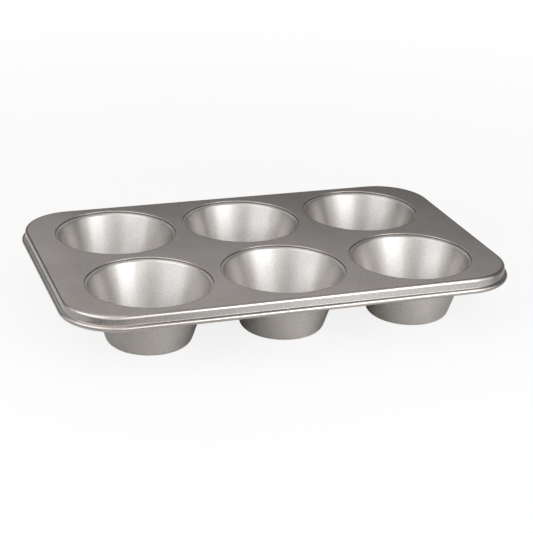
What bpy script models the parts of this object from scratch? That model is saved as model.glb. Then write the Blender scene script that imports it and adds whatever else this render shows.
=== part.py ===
"""Six-cup muffin pan: a pressed steel deck with a wired bead, and drawn cups seated in it.

The pan stands on the bases of its cups. The origin is on the table under the pan's centre,
+X runs along the pan's long side, +Y to its back and +Z up. Sizes are in metres.
"""
import math

import bmesh
import bpy
from mathutils import Vector

MM = 0.001

# Cups: each is drawn from one sheet and hangs by its flange. The mouth and base radii are
# those of the inner wall, before the shoulder and the foot are rounded.
COLUMNS = 3
ROWS = 2
CUP_WALL = 0.6 * MM
CUP_DEPTH = 45.5 * MM
MOUTH_RADIUS = 45.3 * MM
BASE_RADIUS = 31.0 * MM
FLANGE_WIDTH = 2.3 * MM
SHOULDER_RADIUS = 2.4 * MM
FOOT_RADIUS = 5.0 * MM

# Seats: the stepped recesses of the deck, whose leaning wall holds a cup's flange
DECK_SHEET = 0.6 * MM
SEAT_DEPTH = 1.4 * MM
SEAT_LEAN = math.radians(30.0)
SEAT_EDGE_RADIUS = 0.6 * MM
COLLAR_DEPTH = 6.0 * MM
CLEARANCE = 0.3 * MM

# Deck: the web between two seats, the margins outside them, and the plan's corners. The
# margins and the corner radius reach the sharp edge that the deck would have unrounded.
WEB_WIDTH = 8.66 * MM
END_MARGIN = 20.8 * MM
SIDE_MARGIN = 8.8 * MM
CORNER_RADIUS = 40.4 * MM

# Rim: the skirt round the deck, and the bead rolled at its foot round a steel wire
EDGE_RADIUS = 2.8 * MM
SKIRT_FLARE = math.radians(2.0)
GROOVE_RADIUS = 0.4 * MM
BEAD_DEPTH = 9.4 * MM
BEAD_RADIUS = 2.1 * MM
BEAD_WRAP = math.radians(310.0)
WIRE_RADIUS = 1.1 * MM
WIRE_END_GAP = 0.6 * MM

# Where the wire's ends butt on the front edge, to the right of its middle
WIRE_JOINT = -16.7 * MM

# Facets of the round shapes
CUP_STEPS = 28
SHOULDER_STEPS = 2
FOOT_STEPS = 3
SEAT_EDGE_STEPS = 3
CORNER_STEPS = 8
EDGE_STEPS = 3
GROOVE_STEPS = 2
BEAD_STEPS = 9
WIRE_STEPS = 8

# A section point nearer to the axis than this is on it
AXIS_REACH = 0.01 * MM

# Worked out from the sizes above
DECK_TOP = CUP_DEPTH + SEAT_DEPTH
FLANGE_TOP = CUP_DEPTH
FLANGE_RADIUS = MOUTH_RADIUS + FLANGE_WIDTH
FLOOR_TOP = CUP_WALL
SEAT_EDGE = FLANGE_RADIUS + CLEARANCE / math.cos(SEAT_LEAN) - SEAT_DEPTH * math.tan(SEAT_LEAN)
SEAT_OUTER = SEAT_EDGE + SEAT_EDGE_RADIUS / math.tan(math.pi / 4.0 - SEAT_LEAN / 2.0)
PITCH = 2.0 * SEAT_OUTER + WEB_WIDTH
HALF_LENGTH = (COLUMNS - 1) / 2.0 * PITCH + SEAT_OUTER + END_MARGIN
HALF_WIDTH = (ROWS - 1) / 2.0 * PITCH + SEAT_OUTER + SIDE_MARGIN
BEAD_TOP = DECK_TOP - BEAD_DEPTH + BEAD_RADIUS


def add_material(name, colour, metallic, roughness):
    """Returns a Principled material of one colour."""
    material = bpy.data.materials.new(name)
    material.use_nodes = True
    shader = material.node_tree.nodes["Principled BSDF"]
    shader.inputs["Base Color"].default_value = (*colour, 1.0)
    shader.inputs["Metallic"].default_value = metallic
    shader.inputs["Roughness"].default_value = roughness
    return material


def add_object(name, mesh, location=(0.0, 0.0, 0.0)):
    """Puts a mesh into the scene as a named object."""
    item = bpy.data.objects.new(name, mesh)
    item.location = location
    bpy.context.scene.collection.objects.link(item)
    return item


def finish_mesh(name, bm, material):
    """Turns a bmesh into a smooth shaded mesh with its material, and returns it."""
    bmesh.ops.recalc_face_normals(bm, faces=bm.faces)
    mesh = bpy.data.meshes.new(name)
    bm.to_mesh(mesh)
    bm.free()
    mesh.shade_smooth()
    mesh.set_sharp_from_angle(angle=math.radians(50.0))
    mesh.materials.append(material)
    return mesh


def arc(centre, radius, start, turn, steps):
    """Returns the points of an arc that starts at an angle and turns by another."""
    points = []
    for step in range(steps + 1):
        angle = start + turn * step / steps
        points.append(centre + radius * Vector((math.cos(angle), math.sin(angle))))
    return points


def rounded_corner(before, corner, after, radius, steps):
    """Returns the arc that rounds a corner between the points before and after it."""
    back = (before - corner).normalized()
    ahead = (after - corner).normalized()
    half = back.angle(ahead) / 2.0
    centre = corner + (back + ahead).normalized() * (radius / math.sin(half))
    first = corner + back * (radius / math.tan(half)) - centre
    last = corner + ahead * (radius / math.tan(half)) - centre
    turn = math.atan2(first.cross(last), first.dot(last))
    return arc(centre, radius, math.atan2(first.y, first.x), turn, steps)


def offset_path(path, distance):
    """Returns an open path moved by a distance to the left of its run, mitred at its points."""
    runs = [(after - before).normalized() for before, after in zip(path, path[1:])]
    lefts = [Vector((-run.y, run.x)) for run in runs]
    moved = [path[0] + lefts[0] * distance]
    for point, before, after in zip(path[1:-1], lefts, lefts[1:]):
        mitre = (before + after).normalized()
        moved.append(point + mitre * (distance / mitre.dot(before)))
    moved.append(path[-1] + lefts[-1] * distance)
    return moved


def cup_corners():
    """Returns the sharp corners of a cup's inner surface, from the flange's edge to the axis."""
    return [
        Vector((FLANGE_RADIUS, FLANGE_TOP)),
        Vector((MOUTH_RADIUS, FLANGE_TOP)),
        Vector((BASE_RADIUS, FLOOR_TOP)),
        Vector((0.0, FLOOR_TOP)),
    ]


def cup_section():
    """Returns the inner and the outer path of a cup's sheet, each ending on the axis."""
    edge, mouth, base, axis = cup_corners()
    inner = [edge]
    inner += rounded_corner(edge, mouth, base, SHOULDER_RADIUS, SHOULDER_STEPS)
    inner += rounded_corner(mouth, base, axis, FOOT_RADIUS, FOOT_STEPS)
    inner.append(axis)
    return inner, offset_path(inner, CUP_WALL)


def seat_section():
    """Returns the upper and the lower path of a seat, from the flat deck to the collar's end.

    The ledge and the collar run parallel to the flange and the wall of the cup, one clearance
    below them. The step's wall leans out under the deck, so its edge holds the flange in.
    """
    edge, mouth, base = cup_corners()[:3]
    ledge_far, ledge_corner, collar_far = offset_path([edge, mouth, base], CUP_WALL + CLEARANCE)
    deck_far = Vector((SEAT_OUTER + DECK_SHEET, DECK_TOP))
    step_top = Vector((SEAT_EDGE, DECK_TOP))
    step_drop = DECK_TOP - ledge_far.y
    step_foot = Vector((SEAT_EDGE + step_drop * math.tan(SEAT_LEAN), ledge_far.y))
    share = (ledge_corner.y - DECK_TOP + COLLAR_DEPTH) / (ledge_corner.y - collar_far.y)
    collar_end = ledge_corner.lerp(collar_far, share)
    nest_radius = SHOULDER_RADIUS - CUP_WALL - CLEARANCE
    upper = [deck_far]
    upper += rounded_corner(deck_far, step_top, step_foot, SEAT_EDGE_RADIUS, SEAT_EDGE_STEPS)
    upper.append(step_foot)
    upper += rounded_corner(step_foot, ledge_corner, collar_end, nest_radius, SHOULDER_STEPS)
    upper.append(collar_end)
    lower = offset_path(upper, DECK_SHEET)
    return upper[1:], lower[1:]


def bead_centre():
    """Returns the middle of the rolled bead in the rim's section.

    The section's first number is the distance outside the deck's sharp edge.
    """
    skirt_foot = (DECK_TOP - BEAD_TOP) * math.tan(SKIRT_FLARE)
    groove_run = GROOVE_RADIUS / math.tan(math.pi / 4.0 + SKIRT_FLARE / 2.0)
    return Vector((skirt_foot + groove_run, DECK_TOP - BEAD_DEPTH))


def rim_section():
    """Returns the outer and the inner path of the rim, from the flat deck to the curl's end."""
    centre = bead_centre()
    deck_far = Vector((-2.0 * EDGE_RADIUS, DECK_TOP))
    edge = Vector((0.0, DECK_TOP))
    skirt_foot = Vector(((DECK_TOP - BEAD_TOP) * math.tan(SKIRT_FLARE), BEAD_TOP))
    bead_top = Vector((centre.x, BEAD_TOP))
    outer = [deck_far]
    outer += rounded_corner(deck_far, edge, skirt_foot, EDGE_RADIUS, EDGE_STEPS)
    outer += rounded_corner(edge, skirt_foot, bead_top, GROOVE_RADIUS, GROOVE_STEPS)
    outer += arc(centre, BEAD_RADIUS, math.pi / 2.0, -BEAD_WRAP, BEAD_STEPS)[1:]
    inner = offset_path(outer, -DECK_SHEET)
    return outer[1:], inner[1:]


def outline_stations():
    """Returns the deck's corner centres, each with the directions of its arc, anticlockwise."""
    stations = []
    for quarter, (side_x, side_y) in enumerate(((1, -1), (1, 1), (-1, 1), (-1, -1))):
        centre = Vector((
            side_x * (HALF_LENGTH - CORNER_RADIUS),
            side_y * (HALF_WIDTH - CORNER_RADIUS),
        ))
        start = (quarter - 1) * math.pi / 2.0
        for direction in arc(Vector((0.0, 0.0)), 1.0, start, math.pi / 2.0, CORNER_STEPS):
            stations.append((centre, direction))
    return stations


def outline_ring(bm, stations, point):
    """Adds one vertex for each station, at a point of the rim's section, and returns them."""
    ring = []
    for centre, direction in stations:
        place = centre + direction * (CORNER_RADIUS + point.x)
        ring.append(bm.verts.new((place.x, place.y, point.y)))
    return ring


def round_ring(bm, centre, point):
    """Adds a ring of vertices round an upright axis, or one vertex on it, and returns them."""
    if point.x < AXIS_REACH:
        return [bm.verts.new((centre.x, centre.y, point.y))]
    ring = []
    for step in range(CUP_STEPS):
        angle = 2.0 * math.pi * step / CUP_STEPS
        place = centre + point.x * Vector((math.cos(angle), math.sin(angle)))
        ring.append(bm.verts.new((place.x, place.y, point.y)))
    return ring


def skin_rings(bm, rings, closed=True):
    """Joins each ring to the next with quads, or with triangles at a ring of one vertex."""
    for low, high in zip(rings, rings[1:]):
        count = max(len(low), len(high))
        for index in range(count if closed else count - 1):
            after = (index + 1) % count
            corners = [low[index % len(low)], low[after % len(low)]]
            corners += [high[after % len(high)], high[index % len(high)]]
            bm.faces.new(dict.fromkeys(corners))


def ring_edges(bm, ring):
    """Returns the edges that run round a closed ring."""
    return [bm.edges.get((ring[index - 1], ring[index])) for index in range(len(ring))]


def cup_centres():
    """Returns the plan position of each cup, row by row from the front left."""
    centres = []
    for row in range(ROWS):
        for column in range(COLUMNS):
            across = (column - (COLUMNS - 1) / 2.0) * PITCH
            along = (row - (ROWS - 1) / 2.0) * PITCH
            centres.append(Vector((across, along)))
    return centres


def build_deck():
    """Builds the deck: a flat plate between the rim's section and the seats' sections."""
    bm = bmesh.new()
    stations = outline_stations()
    outer, inner = rim_section()
    rings = [outline_ring(bm, stations, point) for point in outer + inner[::-1]]
    skin_rings(bm, rings)
    top_edges = ring_edges(bm, rings[0])
    bottom_edges = ring_edges(bm, rings[-1])
    upper, lower = seat_section()
    for centre in cup_centres():
        rings = [round_ring(bm, centre, point) for point in upper + lower[::-1]]
        skin_rings(bm, rings)
        top_edges += ring_edges(bm, rings[0])
        bottom_edges += ring_edges(bm, rings[-1])
    bmesh.ops.triangle_fill(bm, edges=top_edges, use_beauty=True, normal=(0.0, 0.0, 1.0))
    bmesh.ops.triangle_fill(bm, edges=bottom_edges, use_beauty=True, normal=(0.0, 0.0, -1.0))
    coating = add_material("champagne_coated_sheet", (0.32, 0.29, 0.27), 1.0, 0.4)
    add_object("deck", finish_mesh("deck", bm, coating))


def build_rim_wire():
    """Builds the wire inside the bead, with its ends butted on the front edge."""
    bm = bmesh.new()
    front = Vector((0.0, -1.0))
    end_place = Vector((WIRE_JOINT + WIRE_END_GAP / 2.0, CORNER_RADIUS - HALF_WIDTH))
    start_place = Vector((WIRE_JOINT - WIRE_END_GAP / 2.0, CORNER_RADIUS - HALF_WIDTH))
    stations = [(end_place, front)] + outline_stations() + [(start_place, front)]
    rings = []
    for point in arc(bead_centre(), WIRE_RADIUS, 0.0, 2.0 * math.pi, WIRE_STEPS)[:-1]:
        rings.append(outline_ring(bm, stations, point))
    skin_rings(bm, rings + rings[:1], closed=False)
    bm.faces.new([ring[0] for ring in rings])
    bm.faces.new([ring[-1] for ring in rings])
    steel = add_material("drawn_steel_wire", (0.42, 0.41, 0.40), 1.0, 0.35)
    add_object("rim_wire", finish_mesh("rim_wire", bm, steel))


def build_cups():
    """Builds one drawn cup and sets a copy of it in each seat."""
    bm = bmesh.new()
    inner, outer = cup_section()
    axis = Vector((0.0, 0.0))
    skin_rings(bm, [round_ring(bm, axis, point) for point in outer[::-1] + inner])
    coating = add_material("champagne_coated_cup", (0.38, 0.35, 0.33), 1.0, 0.35)
    mesh = finish_mesh("cup", bm, coating)
    for number, centre in enumerate(cup_centres(), start=1):
        add_object(f"cup_{number}", mesh, (centre.x, centre.y, 0.0))


def main():
    """Clears the scene and builds the pan."""
    for item in list(bpy.data.objects):
        bpy.data.objects.remove(item, do_unlink=True)
    build_deck()
    build_rim_wire()
    build_cups()


if __name__ == "__main__":
    main()
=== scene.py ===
"""Looks of a six-cup muffin pan: a coated steel deck with a wired rim, and six drawn cups.

Each CAD node gets a finer piece of the same shape, made from the same sizes: the pressed deck,
the wire in its bead, and the cups seated in it. +X runs along the pan's long side to the right,
+Y to its back and +Z up, and the origin is on the table under the pan's centre.
"""
import logging
import math
from collections.abc import Sequence
from dataclasses import dataclass
from enum import Enum

import bpy
from mathutils import Matrix, Vector

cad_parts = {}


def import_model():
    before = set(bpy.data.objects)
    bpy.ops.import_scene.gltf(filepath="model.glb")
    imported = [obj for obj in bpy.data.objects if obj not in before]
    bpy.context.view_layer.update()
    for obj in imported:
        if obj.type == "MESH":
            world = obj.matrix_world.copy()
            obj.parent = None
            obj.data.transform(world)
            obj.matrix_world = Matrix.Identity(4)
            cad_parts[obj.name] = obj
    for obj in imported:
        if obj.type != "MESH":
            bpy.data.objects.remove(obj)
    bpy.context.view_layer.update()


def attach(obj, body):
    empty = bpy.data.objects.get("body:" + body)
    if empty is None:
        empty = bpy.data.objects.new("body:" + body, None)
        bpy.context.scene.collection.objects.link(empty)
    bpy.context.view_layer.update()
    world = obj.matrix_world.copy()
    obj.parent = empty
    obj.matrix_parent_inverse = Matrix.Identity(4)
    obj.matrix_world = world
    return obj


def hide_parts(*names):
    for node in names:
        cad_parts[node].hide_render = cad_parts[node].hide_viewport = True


LOG = logging.getLogger("muffin_pan")
MM = 0.001
MERGE_REACH = 0.002 * MM

Path = list[Vector]


class CupPlace(Enum):
    """Where a cup sits: its number, its column from the left and its row from the front."""

    FRONT_LEFT = (1, 0, 0)
    FRONT_MIDDLE = (2, 1, 0)
    FRONT_RIGHT = (3, 2, 0)
    BACK_LEFT = (4, 0, 1)
    BACK_MIDDLE = (5, 1, 1)
    BACK_RIGHT = (6, 2, 1)


class Slot(Enum):
    """Material slots for the deck, the cups and the wire."""

    DECK = "deck"
    CUP = "cup"
    WIRE = "wire"


def linear_colour(hex_code: str) -> tuple[float, float, float, float]:
    """Turns an sRGB hex colour into the linear colour that a shader takes.

    Args:
        hex_code: Six hex digits, such as "817c78".

    Returns:
        Red, green and blue in linear light, and an alpha of one.
    """
    channels = []
    for start in (0, 2, 4):
        value = int(hex_code[start:start + 2], 16) / 255.0
        channels.append(value / 12.92 if value <= 0.04045 else ((value + 0.055) / 1.055) ** 2.4)
    return (channels[0], channels[1], channels[2], 1.0)


def add_node(
    tree: bpy.types.NodeTree,
    kind: str,
    inputs: dict[int | str, object] | None = None,
    **settings: object,
) -> bpy.types.Node:
    """Adds a node, sets its properties and fills its inputs with values or links.

    Args:
        tree: The tree that the node goes into.
        kind: The node's type.
        inputs: A value, or an output socket to link, for each input by its name or number.
        **settings: The node's own properties.

    Returns:
        The new node.
    """
    node = tree.nodes.new(kind)
    for name, value in settings.items():
        setattr(node, name, value)
    for name, value in (inputs or {}).items():
        if isinstance(value, bpy.types.NodeSocket):
            tree.links.new(value, node.inputs[name])
        else:
            node.inputs[name].default_value = value
    return node


def arc(centre: Vector, radius: float, start: float, turn: float, steps: int) -> Path:
    """Lays points along an arc.

    Args:
        centre: The arc's middle.
        radius: Its radius.
        start: The angle of its first point.
        turn: The angle that it turns by, negative for clockwise.
        steps: How many chords it has.

    Returns:
        The points, one more than the chords.
    """
    angles = [start + turn * step / steps for step in range(steps + 1)]
    return [centre + radius * Vector((math.cos(angle), math.sin(angle))) for angle in angles]


def rounded_corner(before: Vector, corner: Vector, after: Vector, radius: float, steps: int) -> Path:
    """Rounds a corner of a path.

    Args:
        before: A point on the run that reaches the corner.
        corner: The sharp corner.
        after: A point on the run that leaves it.
        radius: The radius of the arc that rounds it.
        steps: How many chords the arc has.

    Returns:
        The points of the arc.
    """
    back = (before - corner).normalized()
    ahead = (after - corner).normalized()
    half = back.angle(ahead) / 2.0
    centre = corner + (back + ahead).normalized() * (radius / math.sin(half))
    first = corner + back * (radius / math.tan(half)) - centre
    last = corner + ahead * (radius / math.tan(half)) - centre
    turn = math.atan2(first.cross(last), first.dot(last))
    return arc(centre, radius, math.atan2(first.y, first.x), turn, steps)


def offset_path(path: Path, distance: float) -> Path:
    """Moves an open path to the left of its run, mitred at its points.

    Args:
        path: The path.
        distance: How far it moves, negative for the right.

    Returns:
        The moved path.
    """
    runs = [(after - before).normalized() for before, after in zip(path, path[1:])]
    lefts = [Vector((-run.y, run.x)) for run in runs]
    moved = [path[0] + lefts[0] * distance]
    for point, before, after in zip(path[1:-1], lefts, lefts[1:]):
        mitre = (before + after).normalized()
        moved.append(point + mitre * (distance / mitre.dot(before)))
    moved.append(path[-1] + lefts[-1] * distance)
    return moved


def direction(azimuth: float, elevation: float) -> Vector:
    """Gives the direction from the pan to a lamp, a card or the camera.

    Args:
        azimuth: Degrees from the front towards the right.
        elevation: Degrees above the floor.

    Returns:
        The direction, one unit long.
    """
    turn = math.radians(azimuth)
    lift = math.radians(elevation)
    return Vector((math.sin(turn) * math.cos(lift), -math.cos(turn) * math.cos(lift), math.sin(lift)))


def path_object(name: str, path: Sequence[Vector], closed: bool) -> bpy.types.Object:
    """Makes a path into a mesh of edges, which a Geometry Nodes tree reads.

    Args:
        name: The object's name.
        path: Its points.
        closed: Whether the last point joins the first.

    Returns:
        The object.
    """
    edges = [(index, index + 1) for index in range(len(path) - 1)]
    if closed:
        edges.append((len(path) - 1, 0))
    mesh = bpy.data.meshes.new(name)
    mesh.from_pydata([point.to_3d() for point in path], edges, [])
    item = bpy.data.objects.new(name, mesh)
    bpy.context.scene.collection.objects.link(item)
    return item


def section_object(name: str, section: Path, guide: float) -> bpy.types.Object:
    """Makes a sheet's section into a profile to sweep.

    A sweep takes the profile's X outwards from its guide and the profile's Y downwards.

    Args:
        name: The object's name.
        section: The section, as distance outwards and height.
        guide: The distance outwards of the guide that it is swept along.

    Returns:
        The object.
    """
    return path_object(name, [Vector((point.x - guide, -point.y)) for point in section], False)


def geometry_tree(name: str, inputs: dict[str, str]) -> tuple[bpy.types.NodeTree, dict, bpy.types.Node]:
    """Starts a Geometry Nodes tree with named inputs.

    Args:
        name: The tree's name.
        inputs: The kind of each input after the geometry, such as Float, by its name.

    Returns:
        The tree, its input sockets by name, and its output node.
    """
    tree = bpy.data.node_groups.new(name, "GeometryNodeTree")
    tree.interface.new_socket("Geometry", in_out="INPUT", socket_type="NodeSocketGeometry")
    for title, kind in inputs.items():
        tree.interface.new_socket(title, in_out="INPUT", socket_type="NodeSocket" + kind)
    tree.interface.new_socket("Geometry", in_out="OUTPUT", socket_type="NodeSocketGeometry")
    given = add_node(tree, "NodeGroupInput")
    result = add_node(tree, "NodeGroupOutput")
    return tree, {socket.name: socket for socket in given.outputs}, result


def raised(tree: bpy.types.NodeTree, shape: object, height: object) -> object:
    """Lifts a shape that lies on the table to a height.

    Args:
        tree: The tree.
        shape: The socket of the shape.
        height: The socket of the height.

    Returns:
        The socket of the lifted shape.
    """
    lift = add_node(tree, "ShaderNodeCombineXYZ", {"Z": height})
    moved = add_node(
        tree,
        "GeometryNodeSetPosition",
        {"Geometry": shape, "Offset": lift.outputs["Vector"]},
    )
    return moved.outputs["Geometry"]


def close_tree(tree: bpy.types.NodeTree, shape: object, finish: object, result: bpy.types.Node) -> None:
    """Ends a tree: realizes the copies, merges the seams, clears loose edges, sets the finish.

    Args:
        tree: The tree.
        shape: The socket that gives its geometry.
        finish: The socket that gives its material.
        result: Its output node.
    """
    real = add_node(tree, "GeometryNodeRealizeInstances", {"Geometry": shape})
    merged = add_node(
        tree,
        "GeometryNodeMergeByDistance",
        {"Geometry": real.outputs["Geometry"], "Distance": MERGE_REACH},
    )
    neighbours = add_node(tree, "GeometryNodeInputMeshEdgeNeighbors")
    loose = add_node(
        tree,
        "ShaderNodeMath",
        {0: neighbours.outputs["Face Count"], 1: 1.0},
        operation="LESS_THAN",
    )
    clean = add_node(
        tree,
        "GeometryNodeDeleteGeometry",
        {"Geometry": merged.outputs["Geometry"], "Selection": loose.outputs["Value"]},
        domain="EDGE",
    )
    dressed = add_node(
        tree,
        "GeometryNodeSetMaterial",
        {"Geometry": clean.outputs["Geometry"], "Material": finish},
    )
    tree.links.new(dressed.outputs["Geometry"], result.inputs["Geometry"])


def run_tree(
    item: bpy.types.Object,
    tree: bpy.types.NodeTree,
    values: dict[str, object],
    name: str,
    crease: float,
) -> bpy.types.Object:
    """Runs a tree on an object and keeps the result as a plain mesh piece.

    Args:
        item: The object whose path the tree works on. It is removed.
        tree: The tree.
        values: The tree's inputs, by their names.
        name: The new piece's name.
        crease: The angle past which an edge stays sharp, in radians.

    Returns:
        The piece, at the origin.
    """
    modifier = item.modifiers.new(tree.name, "NODES")
    modifier.node_group = tree
    for entry in tree.interface.items_tree:
        if entry.in_out == "INPUT" and entry.name in values:
            modifier[entry.identifier] = values[entry.name]
    item.update_tag()
    bpy.context.view_layer.update()
    evaluated = item.evaluated_get(bpy.context.evaluated_depsgraph_get())
    mesh = bpy.data.meshes.new_from_object(evaluated)
    mesh.name = name
    bpy.data.objects.remove(item, do_unlink=True)
    mesh.materials.clear()
    mesh.materials.append(values["Finish"])
    mesh.shade_smooth()
    mesh.set_sharp_from_angle(angle=crease)
    piece = bpy.data.objects.new(name, mesh)
    bpy.context.scene.collection.objects.link(piece)
    return piece


def settle(piece: bpy.types.Object, node: str) -> None:
    """Hands a finished piece to the frame and reports it.

    Args:
        piece: The piece.
        node: The CAD node that it stands for.
    """
    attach(piece, "root")
    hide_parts(node)
    faces = len(piece.data.polygons)
    LOG.info("%s: %d faces, finish %s", piece.name, faces, piece.data.materials[0].name)


@dataclass(frozen=True)
class FlakeCoating:
    """Sprayed and baked non-stick coating with metal flake, on pressed steel.

    The flakes lie flat in a warm grey binder, so the sheet shines like satin metal, with soft
    streaks of light and a fine grain. The grain is drawn a little over a millimetre wide, coarser
    than the real flakes, because a finer one doesn't show. On a drawn cup the punch leaves marks
    round the axis, so its shine spreads up and down the wall.
    """

    name: str
    light_hex: str
    dark_hex: str
    roughness: float
    stretch: float
    stretch_turn: float = 0.25
    roughness_swing: float = 0.015
    grain_mm: float = 1.4
    grain_depth_mm: float = 0.008
    grain_detail: float = 2.0
    grain_mix: float = 0.6
    cloud_mm: float = 45.0
    cloud_mix: float = 0.5
    noise_low: float = 0.3
    noise_high: float = 0.7

    def material(self) -> bpy.types.Material:
        """Builds the coating's material.

        Returns:
            The material.
        """
        material = bpy.data.materials.new(self.name)
        material.use_nodes = True
        tree = material.node_tree
        tree.nodes.clear()
        place = add_node(tree, "ShaderNodeTexCoord").outputs["Object"]
        noises = []
        for size_mm, mix in ((self.grain_mm, self.grain_mix), (self.cloud_mm, self.cloud_mix)):
            noise = add_node(
                tree,
                "ShaderNodeTexNoise",
                {
                    "Vector": place,
                    "Scale": 1.0 / (size_mm * MM),
                    "Detail": self.grain_detail,
                    "Roughness": mix,
                },
            )
            noises.append(noise.outputs["Fac"])
        grain, cloud = noises
        both = add_node(tree, "ShaderNodeMath", {0: grain, 1: cloud}, operation="ADD")
        # Two noises are added, so the range is twice that of one.
        share = add_node(
            tree,
            "ShaderNodeMapRange",
            {
                "Value": both.outputs["Value"],
                "From Min": 2.0 * self.noise_low,
                "From Max": 2.0 * self.noise_high,
            },
        ).outputs["Result"]
        colour = add_node(
            tree,
            "ShaderNodeMix",
            {0: share, 6: linear_colour(self.dark_hex), 7: linear_colour(self.light_hex)},
            data_type="RGBA",
        ).outputs[2]
        gloss = add_node(
            tree,
            "ShaderNodeMapRange",
            {
                "Value": grain,
                "From Min": self.noise_low,
                "From Max": self.noise_high,
                "To Min": self.roughness - self.roughness_swing,
                "To Max": self.roughness + self.roughness_swing,
            },
        ).outputs["Result"]
        relief = add_node(
            tree,
            "ShaderNodeBump",
            {"Height": grain, "Distance": self.grain_depth_mm * MM},
        ).outputs["Normal"]
        shader = add_node(
            tree,
            "ShaderNodeBsdfPrincipled",
            {
                "Base Color": colour,
                "Metallic": 1.0,
                "Roughness": gloss,
                "Normal": relief,
                "Anisotropic": self.stretch,
                "Anisotropic Rotation": self.stretch_turn,
            },
        )
        if self.stretch > 0.0:
            run = add_node(tree, "ShaderNodeTangent", direction_type="RADIAL", axis="Z")
            tree.links.new(run.outputs["Tangent"], shader.inputs["Tangent"])
        add_node(tree, "ShaderNodeOutputMaterial", {"Surface": shader.outputs["BSDF"]})
        return material


@dataclass(frozen=True)
class DrawnWire:
    """Bright drawn steel wire, with fine lengthwise scratches that blur its shine."""

    name: str = "bright_drawn_steel_wire"
    light_hex: str = "b4b2af"
    dark_hex: str = "8d8a86"
    roughness: float = 0.32
    scratch_mm: float = 0.5
    scratch_detail: float = 3.0

    def material(self) -> bpy.types.Material:
        """Builds the wire's material.

        Returns:
            The material.
        """
        material = bpy.data.materials.new(self.name)
        material.use_nodes = True
        tree = material.node_tree
        tree.nodes.clear()
        place = add_node(tree, "ShaderNodeTexCoord").outputs["Object"]
        scratch = add_node(
            tree,
            "ShaderNodeTexNoise",
            {"Vector": place, "Scale": 1.0 / (self.scratch_mm * MM), "Detail": self.scratch_detail},
        ).outputs["Fac"]
        colour = add_node(
            tree,
            "ShaderNodeMix",
            {0: scratch, 6: linear_colour(self.dark_hex), 7: linear_colour(self.light_hex)},
            data_type="RGBA",
        ).outputs[2]
        shader = add_node(
            tree,
            "ShaderNodeBsdfPrincipled",
            {"Base Color": colour, "Metallic": 1.0, "Roughness": self.roughness},
        ).outputs["BSDF"]
        add_node(tree, "ShaderNodeOutputMaterial", {"Surface": shader})
        return material


@dataclass
class DrawnCups:
    """The six cups, each drawn from one sheet, with a flange that lies in the deck's seat."""

    columns: int = 3
    rows: int = 2
    pitch: float = 105.0147 * MM
    wall: float = 0.6 * MM
    depth: float = 45.5 * MM
    mouth_radius: float = 45.3 * MM
    base_radius: float = 31.0 * MM
    flange_width: float = 2.3 * MM
    shoulder_radius: float = 2.4 * MM
    foot_radius: float = 5.0 * MM
    facets: int = 128
    shoulder_steps: int = 10
    foot_steps: int = 10
    crease: float = math.radians(40.0)

    def corners(self) -> Path:
        """Gives the sharp corners of the inner surface, from the flange's edge to the axis."""
        return [
            Vector((self.mouth_radius + self.flange_width, self.depth)),
            Vector((self.mouth_radius, self.depth)),
            Vector((self.base_radius, self.wall)),
            Vector((0.0, self.wall)),
        ]

    def section(self) -> Path:
        """Gives the section of a cup's sheet.

        Returns:
            The section: down the outside to the axis, and back up the inside.
        """
        edge, mouth, base, axis = self.corners()
        inner = [edge]
        inner += rounded_corner(edge, mouth, base, self.shoulder_radius, self.shoulder_steps)
        inner += rounded_corner(mouth, base, axis, self.foot_radius, self.foot_steps)
        inner.append(axis)
        outer = offset_path(inner, self.wall)
        return [edge] + outer + inner[::-1]

    def centre(self, place: CupPlace) -> Vector:
        """Gives the plan position of a cup.

        Args:
            place: Which cup.

        Returns:
            The point on the table under the cup's axis.
        """
        _, column, row = place.value
        across = (column - (self.columns - 1) / 2.0) * self.pitch
        along = (row - (self.rows - 1) / 2.0) * self.pitch
        return Vector((across, along, 0.0))

    def tree(self) -> bpy.types.NodeTree:
        """Builds the tree that turns a section round an upright axis.

        Returns:
            The tree.
        """
        tree, given, result = geometry_tree(
            "turned_sheet",
            {"Guide Radius": "Float", "Facets": "Int", "Centre": "Vector", "Finish": "Material"},
        )
        section = add_node(tree, "GeometryNodeMeshToCurve", {"Mesh": given["Geometry"]})
        guide = add_node(
            tree,
            "GeometryNodeCurvePrimitiveCircle",
            {"Resolution": given["Facets"], "Radius": given["Guide Radius"]},
        )
        turned = add_node(
            tree,
            "GeometryNodeCurveToMesh",
            {"Curve": guide.outputs["Curve"], "Profile Curve": section.outputs["Curve"]},
        )
        placed = add_node(
            tree,
            "GeometryNodeSetPosition",
            {"Geometry": turned.outputs["Mesh"], "Offset": given["Centre"]},
        )
        close_tree(tree, placed.outputs["Geometry"], given["Finish"], result)
        return tree

    def build(self, finish: bpy.types.Material) -> None:
        """Builds and dresses the cups.

        Args:
            finish: Their material.
        """
        tree = self.tree()
        for place in CupPlace:
            name = f"drawn_cup_{place.value[0]}"
            item = section_object(name + "_section", self.section(), self.mouth_radius)
            values = {
                "Guide Radius": self.mouth_radius,
                "Facets": self.facets,
                "Centre": self.centre(place),
                "Finish": finish,
            }
            piece = run_tree(item, tree, values, name, self.crease)
            settle(piece, f"cup_{place.value[0]}")


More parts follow.
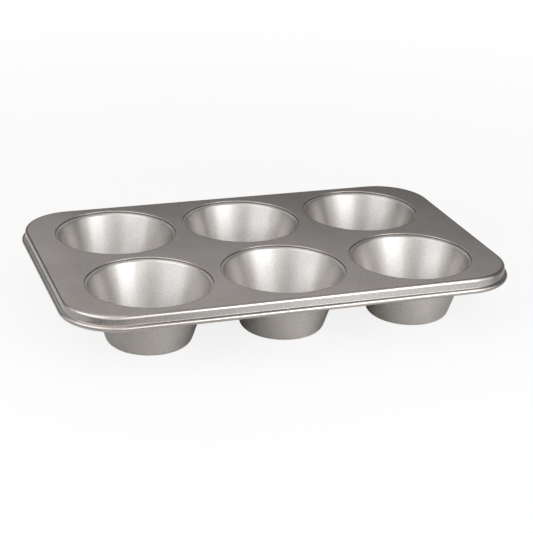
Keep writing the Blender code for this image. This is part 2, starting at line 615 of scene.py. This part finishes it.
@dataclass
class PressedDeck:
    """The deck: a flat plate with stepped seats, a skirt, and a bead rolled round the wire."""

    cups: DrawnCups
    sheet: float = 0.6 * MM
    clearance: float = 0.3 * MM
    seat_depth: float = 1.4 * MM
    seat_lean: float = math.radians(30.0)
    seat_edge_radius: float = 0.6 * MM
    collar_depth: float = 6.0 * MM
    end_margin: float = 20.8 * MM
    side_margin: float = 8.8 * MM
    corner_radius: float = 40.4 * MM
    edge_radius: float = 2.8 * MM
    skirt_flare: float = math.radians(2.0)
    groove_radius: float = 0.4 * MM
    bead_depth: float = 9.4 * MM
    bead_radius: float = 2.1 * MM
    bead_reach: float = 2.043 * MM
    bead_wrap: float = math.radians(310.0)
    plate_inset: float = 3.4 * MM
    seat_inset: float = 0.5 * MM
    joint_place: float = -16.7 * MM
    joint_depth: float = 0.22 * MM
    joint_width: float = 0.28 * MM
    joint_reach: float = 2.2 * MM
    facets: int = 128
    corner_steps: int = 32
    edge_steps: int = 8
    groove_steps: int = 4
    bead_steps: int = 28
    seat_edge_steps: int = 5
    ledge_steps: int = 6
    crease: float = math.radians(40.0)
    joint_stations_mm: tuple[float, ...] = (
        -4.0, -1.5, -0.8, -0.5, -0.3, -0.15, 0.0, 0.15, 0.3, 0.5, 0.8, 1.5, 4.0,
    )

    @property
    def top(self) -> float:
        """The height of the deck's flat."""
        return self.cups.depth + self.seat_depth

    @property
    def seat_edge(self) -> float:
        """The radius of a seat's sharp upper edge."""
        flange_radius = self.cups.mouth_radius + self.cups.flange_width
        gap = self.clearance / math.cos(self.seat_lean)
        return flange_radius + gap - self.seat_depth * math.tan(self.seat_lean)

    @property
    def seat_outer(self) -> float:
        """The radius where a seat's rounded edge meets the flat."""
        return self.seat_edge + self.seat_edge_radius / math.tan(math.pi / 4.0 - self.seat_lean / 2.0)

    @property
    def half_length(self) -> float:
        """Half of the length between the deck's sharp edges."""
        return (self.cups.columns - 1) / 2.0 * self.cups.pitch + self.seat_outer + self.end_margin

    @property
    def half_width(self) -> float:
        """Half of the width between the deck's sharp edges."""
        return (self.cups.rows - 1) / 2.0 * self.cups.pitch + self.seat_outer + self.side_margin

    @property
    def bead_top(self) -> float:
        """The height of the bead's top."""
        return self.top - self.bead_depth + self.bead_radius

    def bead_centre(self) -> Vector:
        """Gives the bead's middle.

        Returns:
            The point, as distance outside the deck's sharp edge and height.
        """
        foot = (self.top - self.bead_top) * math.tan(self.skirt_flare)
        run = self.groove_radius / math.tan(math.pi / 4.0 + self.skirt_flare / 2.0)
        return Vector((foot + run, self.top - self.bead_depth))

    def rim_section(self) -> Path:
        """Gives the rim's section.

        Returns:
            The section: over the edge, down the skirt, round the bead and back.
        """
        centre = self.bead_centre()
        flat = Vector((-self.plate_inset, self.top))
        edge = Vector((0.0, self.top))
        foot = Vector(((self.top - self.bead_top) * math.tan(self.skirt_flare), self.bead_top))
        bead = Vector((centre.x, self.bead_top))
        outer = [flat]
        outer += rounded_corner(flat, edge, foot, self.edge_radius, self.edge_steps)
        outer += rounded_corner(edge, foot, bead, self.groove_radius, self.groove_steps)
        outer += self.bead_arc(centre)[1:]
        inner = offset_path(outer, -self.sheet)
        return outer + inner[::-1]

    def bead_arc(self, centre: Vector) -> Path:
        """Gives the outside of the bead.

        The arc is a hair narrower than it is tall, so that its many facets reach no further out
        than the few of the CAD bead.

        Args:
            centre: The bead's middle.

        Returns:
            The points, from the bead's top, clockwise.
        """
        points = arc(centre, self.bead_radius, math.pi / 2.0, -self.bead_wrap, self.bead_steps)
        squeeze = self.bead_reach / self.bead_radius
        return [Vector((centre.x + (point.x - centre.x) * squeeze, point.y)) for point in points]

    def seat_section(self) -> Path:
        """Gives a seat's section.

        Returns:
            The section: down its underside to the collar's end, and back up its top.
        """
        edge, mouth, base = self.cups.corners()[:3]
        gap = self.cups.wall + self.clearance
        ledge_far, ledge_corner, collar_far = offset_path([edge, mouth, base], gap)
        flat = Vector((self.seat_outer + self.seat_inset, self.top))
        step_top = Vector((self.seat_edge, self.top))
        drop = self.top - ledge_far.y
        foot = Vector((self.seat_edge + drop * math.tan(self.seat_lean), ledge_far.y))
        share = (ledge_corner.y - self.top + self.collar_depth) / (ledge_corner.y - collar_far.y)
        collar_end = ledge_corner.lerp(collar_far, share)
        nest = self.cups.shoulder_radius - gap
        upper = [flat]
        upper += rounded_corner(flat, step_top, foot, self.seat_edge_radius, self.seat_edge_steps)
        upper.append(foot)
        upper += rounded_corner(foot, ledge_corner, collar_end, nest, self.ledge_steps)
        upper.append(collar_end)
        lower = offset_path(upper, self.sheet)
        return lower + upper[::-1]

    def outline(self, inset: float, stations_mm: Sequence[float]) -> Path:
        """Gives the deck's outline, anticlockwise from the front right corner.

        Args:
            inset: How far inside the sharp edge it lies, negative for outside.
            stations_mm: Where the front run has extra points, in millimetres from the joint.

        Returns:
            The points. The front run, with its extra points, comes last.
        """
        points = []
        radius = self.corner_radius - inset
        for quarter, (side_x, side_y) in enumerate(((1, -1), (1, 1), (-1, 1), (-1, -1))):
            centre = Vector((
                side_x * (self.half_length - self.corner_radius),
                side_y * (self.half_width - self.corner_radius),
            ))
            start = (quarter - 1) * math.pi / 2.0
            points += arc(centre, radius, start, math.pi / 2.0, self.corner_steps)
        front = inset - self.half_width
        points += [Vector((self.joint_place + station * MM, front)) for station in stations_mm]
        return points

    def tree(self) -> bpy.types.NodeTree:
        """Builds the tree that makes the deck from its outline and its two sections.

        Returns:
            The tree.
        """
        tree, given, result = geometry_tree(
            "pressed_deck",
            {
                "Rim Section": "Object",
                "Seat Section": "Object",
                "Seat Guide Radius": "Float",
                "Columns": "Int",
                "Rows": "Int",
                "Pitch": "Float",
                "Facets": "Int",
                "Top": "Float",
                "Sheet": "Float",
                "Bead Height": "Float",
                "Bead Front": "Float",
                "Joint Reach": "Float",
                "Joint Place": "Float",
                "Joint Width": "Float",
                "Joint Depth": "Float",
                "Finish": "Material",
            },
        )
        outline = add_node(tree, "GeometryNodeMeshToCurve", {"Mesh": given["Geometry"]})
        rim = self.sweep(tree, outline.outputs["Curve"], given["Rim Section"])
        guide = add_node(
            tree,
            "GeometryNodeCurvePrimitiveCircle",
            {"Resolution": given["Facets"], "Radius": given["Seat Guide Radius"]},
        )
        seat = self.sweep(tree, guide.outputs["Curve"], given["Seat Section"])
        cells = self.grid(tree, given)
        seats = add_node(tree, "GeometryNodeInstanceOnPoints", {"Points": cells, "Instance": seat})
        holes = add_node(
            tree,
            "GeometryNodeInstanceOnPoints",
            {"Points": cells, "Instance": guide.outputs["Curve"]},
        )
        lines = add_node(tree, "GeometryNodeJoinGeometry", {0: outline.outputs["Curve"]})
        cut = add_node(tree, "GeometryNodeRealizeInstances", {"Geometry": holes.outputs["Instances"]})
        tree.links.new(cut.outputs["Geometry"], lines.inputs[0])
        plate = add_node(tree, "GeometryNodeFillCurve", {"Curve": lines.outputs["Geometry"]})
        below = add_node(
            tree,
            "ShaderNodeMath",
            {0: given["Top"], 1: given["Sheet"]},
            operation="SUBTRACT",
        )
        turned = add_node(tree, "GeometryNodeFlipFaces", {"Mesh": plate.outputs["Mesh"]})
        upper = raised(tree, plate.outputs["Mesh"], given["Top"])
        lower = raised(tree, turned.outputs["Mesh"], below.outputs["Value"])
        whole = add_node(tree, "GeometryNodeJoinGeometry", {0: rim})
        for shape in (seats.outputs["Instances"], upper, lower):
            tree.links.new(shape, whole.inputs[0])
        marked = self.joint(tree, whole.outputs["Geometry"], given)
        close_tree(tree, marked, given["Finish"], result)
        return tree

    @staticmethod
    def sweep(tree: bpy.types.NodeTree, guide: object, section: object) -> object:
        """Sweeps a section along a guide.

        Args:
            tree: The tree.
            guide: The socket of the guide's curve.
            section: The socket of the section's object.

        Returns:
            The socket of the swept sheet.
        """
        read = add_node(tree, "GeometryNodeObjectInfo", {"Object": section})
        profile = add_node(tree, "GeometryNodeMeshToCurve", {"Mesh": read.outputs["Geometry"]})
        swept = add_node(
            tree,
            "GeometryNodeCurveToMesh",
            {"Curve": guide, "Profile Curve": profile.outputs["Curve"]},
        )
        return swept.outputs["Mesh"]

    @staticmethod
    def grid(tree: bpy.types.NodeTree, given: dict) -> object:
        """Lays a point on each seat's centre.

        Args:
            tree: The tree.
            given: The tree's input sockets.

        Returns:
            The socket of the points.
        """
        spans = []
        for count in ("Columns", "Rows"):
            gaps = add_node(tree, "ShaderNodeMath", {0: given[count], 1: 1.0}, operation="SUBTRACT")
            span = add_node(
                tree,
                "ShaderNodeMath",
                {0: gaps.outputs["Value"], 1: given["Pitch"]},
                operation="MULTIPLY",
            )
            spans.append(span.outputs["Value"])
        cells = add_node(
            tree,
            "GeometryNodeMeshGrid",
            {
                "Size X": spans[0],
                "Size Y": spans[1],
                "Vertices X": given["Columns"],
                "Vertices Y": given["Rows"],
            },
        )
        return cells.outputs["Mesh"]

    @staticmethod
    def joint(tree: bpy.types.NodeTree, shape: object, given: dict) -> object:
        """Presses the hairline dent of the rim's joint into the front of the bead.

        Args:
            tree: The tree.
            shape: The socket of the deck.
            given: The tree's input sockets.

        Returns:
            The socket of the marked deck.
        """
        place = add_node(tree, "GeometryNodeInputPosition").outputs["Position"]
        along = add_node(tree, "ShaderNodeSeparateXYZ", {"Vector": place}).outputs["X"]
        centre = add_node(
            tree,
            "ShaderNodeCombineXYZ",
            {"X": along, "Y": given["Bead Front"], "Z": given["Bead Height"]},
        ).outputs["Vector"]
        arm = add_node(
            tree,
            "ShaderNodeVectorMath",
            {0: centre, 1: place},
            operation="SUBTRACT",
        ).outputs["Vector"]
        away = add_node(tree, "ShaderNodeVectorMath", {0: arm}, operation="LENGTH").outputs["Value"]
        inside = add_node(
            tree,
            "ShaderNodeMath",
            {0: away, 1: given["Joint Reach"]},
            operation="LESS_THAN",
        ).outputs["Value"]
        depth = along
        for operation, other in (
            ("SUBTRACT", given["Joint Place"]),
            ("DIVIDE", given["Joint Width"]),
            ("POWER", 2.0),
            ("MULTIPLY", -1.0),
            ("EXPONENT", 0.0),
            ("MULTIPLY", given["Joint Depth"]),
            ("MULTIPLY", inside),
        ):
            step = add_node(tree, "ShaderNodeMath", {0: depth, 1: other}, operation=operation)
            depth = step.outputs["Value"]
        inwards = add_node(tree, "ShaderNodeVectorMath", {0: arm}, operation="NORMALIZE")
        push = add_node(
            tree,
            "ShaderNodeVectorMath",
            {0: inwards.outputs["Vector"], "Scale": depth},
            operation="SCALE",
        )
        moved = add_node(
            tree,
            "GeometryNodeSetPosition",
            {"Geometry": shape, "Offset": push.outputs["Vector"]},
        )
        return moved.outputs["Geometry"]

    def build(self, finish: bpy.types.Material) -> None:
        """Builds and dresses the deck.

        Args:
            finish: Its material.
        """
        guide = self.seat_outer + self.seat_inset
        rim = section_object("rim_section", self.rim_section(), -self.plate_inset)
        seat = section_object("seat_section", self.seat_section(), guide)
        item = path_object("deck_outline", self.outline(self.plate_inset, self.joint_stations_mm), True)
        centre = self.bead_centre()
        values = {
            "Rim Section": rim,
            "Seat Section": seat,
            "Seat Guide Radius": guide,
            "Columns": self.cups.columns,
            "Rows": self.cups.rows,
            "Pitch": self.cups.pitch,
            "Facets": self.facets,
            "Top": self.top,
            "Sheet": self.sheet,
            "Bead Height": centre.y,
            "Bead Front": -self.half_width - centre.x,
            "Joint Reach": self.joint_reach,
            "Joint Place": self.joint_place,
            "Joint Width": self.joint_width,
            "Joint Depth": self.joint_depth,
            "Finish": finish,
        }
        piece = run_tree(item, self.tree(), values, "pressed_deck", self.crease)
        for helper in (rim, seat):
            bpy.data.objects.remove(helper, do_unlink=True)
        settle(piece, "deck")


@dataclass
class RimWire:
    """The steel wire that stiffens the rim, with its ends butted at the joint in its front."""

    deck: PressedDeck
    radius: float = 1.1 * MM
    end_gap: float = 0.6 * MM
    facets: int = 20
    crease: float = math.radians(60.0)

    def tree(self) -> bpy.types.NodeTree:
        """Builds the tree that makes a round wire along a path.

        Returns:
            The tree.
        """
        tree, given, result = geometry_tree(
            "round_wire",
            {"Wire Radius": "Float", "Facets": "Int", "Height": "Float", "Finish": "Material"},
        )
        line = add_node(tree, "GeometryNodeMeshToCurve", {"Mesh": given["Geometry"]})
        ring = add_node(
            tree,
            "GeometryNodeCurvePrimitiveCircle",
            {"Resolution": given["Facets"], "Radius": given["Wire Radius"]},
        )
        swept = add_node(
            tree,
            "GeometryNodeCurveToMesh",
            {"Curve": line.outputs["Curve"], "Profile Curve": ring.outputs["Curve"], "Fill Caps": True},
        )
        placed = raised(tree, swept.outputs["Mesh"], given["Height"])
        close_tree(tree, placed, given["Finish"], result)
        return tree

    def build(self, finish: bpy.types.Material) -> None:
        """Builds and dresses the wire.

        Args:
            finish: Its material.
        """
        centre = self.deck.bead_centre()
        points = self.deck.outline(-centre.x, ())
        front = -self.deck.half_width - centre.x
        joint = self.deck.joint_place
        ends = [Vector((joint + side * self.end_gap / 2.0, front)) for side in (1.0, -1.0)]
        item = path_object("wire_line", [ends[0], *points, ends[1]], False)
        values = {
            "Wire Radius": self.radius,
            "Facets": self.facets,
            "Height": centre.y,
            "Finish": finish,
        }
        piece = run_tree(item, self.tree(), values, "bead_wire", self.crease)
        settle(piece, "rim_wire")


@dataclass(frozen=True)
class Softbox:
    """A rectangular studio lamp that faces the pan, with a slightly cool light.

    Its angles are in degrees, the azimuth from the front to the right.
    """

    name: str
    azimuth: float
    elevation: float
    distance: float
    width: float
    height: float
    radiance: float
    tint: tuple[float, float, float] = (0.965, 1.0, 1.02)

    def build(self) -> None:
        """Puts the lamp into the scene."""
        lamp = bpy.data.lights.new(self.name, "AREA")
        lamp.shape = "RECTANGLE"
        lamp.color = self.tint
        lamp.size = self.width
        lamp.size_y = self.height
        lamp.energy = self.radiance * math.pi * self.width * self.height
        item = bpy.data.objects.new(self.name, lamp)
        away = direction(self.azimuth, self.elevation)
        item.location = away * self.distance
        item.rotation_mode = "QUATERNION"
        item.rotation_quaternion = away.to_track_quat("Z", "Y")
        item.visible_camera = False
        bpy.context.scene.collection.objects.link(item)


def add_card(
    mesh: bpy.types.Mesh,
    axis: str,
    ends: tuple[float, float],
    tones: tuple[float, float],
    tint: tuple[float, float, float] = (1.0, 1.0, 1.0),
) -> None:
    """Puts a grey card into the scene, seen only in the pan's metal.

    Args:
        mesh: The card's mesh, which has its name.
        axis: The axis that its tone runs along.
        ends: Where along the axis the tone starts and stops.
        tones: The tones there, where one is white.
        tint: The card's tint.
    """
    item = bpy.data.objects.new(mesh.name, mesh)
    bpy.context.scene.collection.objects.link(item)
    material = bpy.data.materials.new("grey_card")
    material.use_nodes = True
    tree = material.node_tree
    tree.nodes.clear()
    place = add_node(tree, "ShaderNodeTexCoord").outputs["Object"]
    run = add_node(tree, "ShaderNodeSeparateXYZ", {"Vector": place}).outputs[axis]
    tone = add_node(
        tree,
        "ShaderNodeMapRange",
        {"Value": run, "From Min": ends[0], "From Max": ends[1], "To Min": tones[0], "To Max": tones[1]},
    )
    grey = add_node(
        tree,
        "ShaderNodeEmission",
        {"Color": (*tint, 1.0), "Strength": tone.outputs["Result"]},
    )
    add_node(tree, "ShaderNodeOutputMaterial", {"Surface": grey.outputs["Emission"]})
    mesh.materials.append(material)
    item.visible_camera = False
    item.visible_diffuse = False
    item.visible_shadow = False


@dataclass(frozen=True)
class Flag:
    """A grey card, curved round the pan, which its metal mirrors in place of the white room.

    Its azimuths and its low and high edges are in degrees, and a tone of one is white.
    """

    name: str
    first_azimuth: float
    last_azimuth: float
    low: float
    high: float
    low_tone: float
    high_tone: float
    radius: float = 0.8
    steps: int = 24

    def point(self, across: float, up: float) -> Vector:
        """Gives a point of the card.

        Args:
            across: The share of the way from its first azimuth to its last.
            up: The share of the way from its low edge to its high one.

        Returns:
            The point.
        """
        azimuth = self.first_azimuth + (self.last_azimuth - self.first_azimuth) * across
        return self.radius * direction(azimuth, self.low + (self.high - self.low) * up)

    def build(self) -> None:
        """Puts the card into the scene."""
        mesh = bpy.data.meshes.new(self.name)
        row = self.steps + 1
        shares = [step / self.steps for step in range(row)]
        points = [self.point(across, up) for up in shares for across in shares]
        faces = [
            (low + side, low + side + 1, low + side + 1 + row, low + side + row)
            for low in range(0, self.steps * row, row)
            for side in range(self.steps)
        ]
        mesh.from_pydata(points, [], faces)
        ends = (self.point(0.0, 0.0).z, self.point(0.0, 1.0).z)
        add_card(mesh, "Z", ends, (self.low_tone, self.high_tone))


@dataclass(frozen=True)
class FloorCard:
    """A grey card that lies on the floor before the pan, which the skirt and the bead mirror."""

    name: str
    left: float
    right: float
    near: float
    far: float
    left_tone: float
    right_tone: float
    height: float = 0.2 * MM
    tint: tuple[float, float, float] = (0.945, 1.0, 1.03)

    def build(self) -> None:
        """Puts the card into the scene."""
        mesh = bpy.data.meshes.new(self.name)
        corners = [
            (self.left, self.near, self.height),
            (self.right, self.near, self.height),
            (self.right, self.far, self.height),
            (self.left, self.far, self.height),
        ]
        mesh.from_pydata(corners, [], [(0, 1, 2, 3)])
        tones = (self.left_tone, self.right_tone)
        add_card(mesh, "X", (self.left, self.right), tones, self.tint)


@dataclass
class Studio:
    """The white studio: floor, surroundings, lamps and the photograph's camera.

    The lamps stand near the pan, with a dark card behind them, because a ray that meets a lamp
    goes on and adds what lies behind it. The grey cards fill in the rest of the room.
    """

    deck_top: float
    picture_width: float = 533.0
    sensor_width: float = 36.0
    focal_pixels: float = 1486.272
    camera_azimuth: float = -19.4
    camera_elevation: float = 21.413
    camera_roll: float = 2.052
    camera_distance: float = 1174.019 * MM
    look_at: tuple[float, float] = (-11.704 * MM, -46.845 * MM)
    floor_size: float = 40.0
    world_strength: float = 0.7
    near_white: float = 0.85
    near_reach: float = 0.3
    far_reach: float = 1.0
    paper: tuple[float, float, float] = (0.775, 0.75, 0.73)
    lamps: tuple[Softbox, ...] = (
        Softbox("lamp_front_right", 22.0, 24.5, 0.68, 0.41, 0.49, 3.65),
        Softbox("lamp_left", -70.0, 32.5, 0.68, 0.55, 0.44, 2.35),
    )
    flags: tuple[Flag, ...] = (
        Flag("lamp_backs", -110.0, 55.0, -1.0, 60.0, 0.0, 0.0, 0.95),
        Flag("card_front_foot", -14.0, 50.0, -1.0, 5.0, 0.8, 0.8),
        Flag("card_front_left", -14.0, 4.0, 5.0, 46.0, 1.9, 1.9),
        Flag("card_front_right", 40.0, 50.0, 5.0, 46.0, 2.2, 2.2),
        Flag("card_front_gap", -45.0, -14.0, -1.0, 46.0, 1.3, 1.3),
        Flag("card_front_high", -45.0, 0.0, 46.0, 60.0, 1.4, 1.4),
        Flag("card_front_dark", 0.0, 50.0, 46.0, 60.0, 0.2, 0.2),
        Flag("card_right_near", 50.0, 70.0, -1.0, 60.0, 1.2, 1.2),
        Flag("card_right_far", 70.0, 128.0, -1.0, 60.0, 0.22, 0.22),
        Flag("card_back_low", 128.0, 180.0, -1.0, 24.0, 0.18, 0.18),
        Flag("card_back_high", 128.0, 180.0, 24.0, 60.0, 0.64, 0.64),
        Flag("card_back_left_low", 180.0, 225.0, -1.0, 20.0, 0.15, 0.15),
        Flag("card_back_left_high", 180.0, 225.0, 20.0, 60.0, 0.64, 0.64),
        Flag("card_left_back", 225.0, 240.0, -1.0, 60.0, 0.15, 0.3),
        Flag("card_left_side", 240.0, 255.0, -1.0, 60.0, 0.5, 1.6),
        Flag("card_left_edge", 255.0, 265.0, -1.0, 60.0, 1.3, 0.8),
        Flag("card_left_low", -95.0, -45.0, -1.0, 15.0, 0.35, 0.35),
        Flag("card_left_high", -95.0, -45.0, 50.0, 60.0, 2.0, 1.6),
        Flag("card_above_left", -180.0, 0.0, 60.0, 89.0, 1.2, 1.2),
        Flag("card_above_right", 0.0, 180.0, 60.0, 89.0, 0.5, 0.5),
    )
    floor_cards: tuple[FloorCard, ...] = (
        FloorCard("card_floor_left", -0.5, -0.12, -0.45, -0.165, 0.28, 0.42),
        FloorCard("card_floor_middle", -0.12, 0.08, -0.45, -0.165, 0.42, 1.3),
        FloorCard("card_floor_right", 0.08, 0.18, -0.45, -0.165, 1.3, 1.3),
        FloorCard("card_floor_end", 0.18, 0.5, -0.45, -0.165, 1.2, 0.7),
        FloorCard("card_floor_side_left", -0.5, -0.19, -0.165, 0.2, 0.75, 0.75),
        FloorCard("card_floor_side_right", 0.19, 0.5, -0.165, 0.2, 0.6, 0.4),
    )

    def camera(self) -> None:
        """Sets the camera where the photograph was taken from."""
        roll = math.radians(self.camera_roll)
        place = direction(self.camera_azimuth, self.camera_elevation) * self.camera_distance
        ahead = (Vector((*self.look_at, 0.0)) - place).normalized()
        level = ahead.cross(Vector((0.0, 0.0, 1.0))).normalized()
        upright = level.cross(ahead)
        right = math.cos(roll) * level + math.sin(roll) * upright
        above = -math.sin(roll) * level + math.cos(roll) * upright
        place.z += self.deck_top
        camera = bpy.data.cameras.new("camera")
        camera.sensor_width = self.sensor_width
        camera.lens = self.sensor_width * self.focal_pixels / self.picture_width
        item = bpy.data.objects.new("camera", camera)
        item.matrix_world = Matrix((
            (right.x, above.x, -ahead.x, place.x),
            (right.y, above.y, -ahead.y, place.y),
            (right.z, above.z, -ahead.z, place.z),
            (0.0, 0.0, 0.0, 1.0),
        ))
        bpy.context.scene.collection.objects.link(item)
        bpy.context.scene.camera = item

    @staticmethod
    def seen_directly(tree: bpy.types.NodeTree) -> bpy.types.NodeSocket:
        """Tells rays from the camera, a gloss or a glass from those that light the object.

        Args:
            tree: The node tree.

        Returns:
            The socket that is one for such rays.
        """
        rays = add_node(tree, "ShaderNodeLightPath").outputs
        either = add_node(
            tree,
            "ShaderNodeMath",
            {0: rays["Is Camera Ray"], 1: rays["Is Glossy Ray"]},
            operation="MAXIMUM",
        )
        return add_node(
            tree,
            "ShaderNodeMath",
            {0: either.outputs["Value"], 1: rays["Is Transmission Ray"]},
            operation="MAXIMUM",
        ).outputs["Value"]

    def surroundings(self) -> None:
        """Makes the white surroundings, which light the pan less than they show."""
        world = bpy.data.worlds.new("studio")
        bpy.context.scene.world = world
        world.use_nodes = True
        tree = world.node_tree
        tree.nodes.clear()
        seen = self.seen_directly(tree)
        strength = add_node(
            tree,
            "ShaderNodeMapRange",
            {"Value": seen, "To Min": self.world_strength, "To Max": 1.0},
        )
        white = add_node(
            tree,
            "ShaderNodeBackground",
            {"Color": (1.0, 1.0, 1.0, 1.0), "Strength": strength.outputs["Result"]},
        )
        add_node(tree, "ShaderNodeOutputWorld", {"Surface": white.outputs["Background"]})

    def floor(self) -> None:
        """Lays the pale floor, which shows nearly white and keeps the pan's shadow.

        Close to the pan the metal mirrors the paper and its shadow, and further out the white.
        """
        half = self.floor_size / 2.0
        mesh = bpy.data.meshes.new("studio_floor")
        corners = [(-half, -half, 0.0), (half, -half, 0.0), (half, half, 0.0), (-half, half, 0.0)]
        mesh.from_pydata(corners, [], [(0, 1, 2, 3)])
        item = bpy.data.objects.new("studio_floor", mesh)
        bpy.context.scene.collection.objects.link(item)
        material = bpy.data.materials.new("white_paper")
        material.use_nodes = True
        tree = material.node_tree
        tree.nodes.clear()
        rays = add_node(tree, "ShaderNodeLightPath").outputs
        place = add_node(tree, "ShaderNodeTexCoord").outputs["Object"]
        away = add_node(tree, "ShaderNodeVectorMath", {0: place}, operation="LENGTH")
        near = add_node(
            tree,
            "ShaderNodeMath",
            {0: rays["Is Camera Ray"], 1: self.near_white},
            operation="MULTIPLY",
        )
        share = add_node(
            tree,
            "ShaderNodeMapRange",
            {
                "Value": away.outputs["Value"],
                "From Min": self.near_reach,
                "From Max": self.far_reach,
                "To Min": near.outputs["Value"],
                "To Max": self.seen_directly(tree),
            },
        )
        white = add_node(tree, "ShaderNodeEmission", {"Color": (1.0, 1.0, 1.0, 1.0), "Strength": 1.0})
        paper = add_node(tree, "ShaderNodeBsdfDiffuse", {"Color": (*self.paper, 1.0)})
        both = add_node(
            tree,
            "ShaderNodeMixShader",
            {0: share.outputs["Result"], 1: paper.outputs["BSDF"], 2: white.outputs["Emission"]},
        )
        add_node(tree, "ShaderNodeOutputMaterial", {"Surface": both.outputs["Shader"]})
        mesh.materials.append(material)

    def build(self) -> None:
        """Sets the view, the camera, the surroundings, the floor and the lamps."""
        bpy.context.scene.view_settings.view_transform = "Standard"
        self.camera()
        self.surroundings()
        self.floor()
        for lamp in self.lamps:
            lamp.build()
        for card in self.flags + self.floor_cards:
            card.build()


def main() -> None:
    logging.basicConfig(level=logging.INFO, format="%(name)s: %(message)s")
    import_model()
    sheet_coating = FlakeCoating(
        name="champagne_flake_coating_deck",
        light_hex="beb7b2",
        dark_hex="a7a09b",
        roughness=0.24,
        stretch=0.0,
    )
    cup_coating = FlakeCoating(
        name="champagne_flake_coating_cup",
        light_hex="d7d3cf",
        dark_hex="b3afac",
        roughness=0.37,
        stretch=0.8,
    )
    cups = DrawnCups()
    deck = PressedDeck(cups)
    deck.build(sheet_coating.material())
    RimWire(deck).build(DrawnWire().material())
    cups.build(cup_coating.material())
    Studio(deck.top).build()


if __name__ == "__main__":
    main()
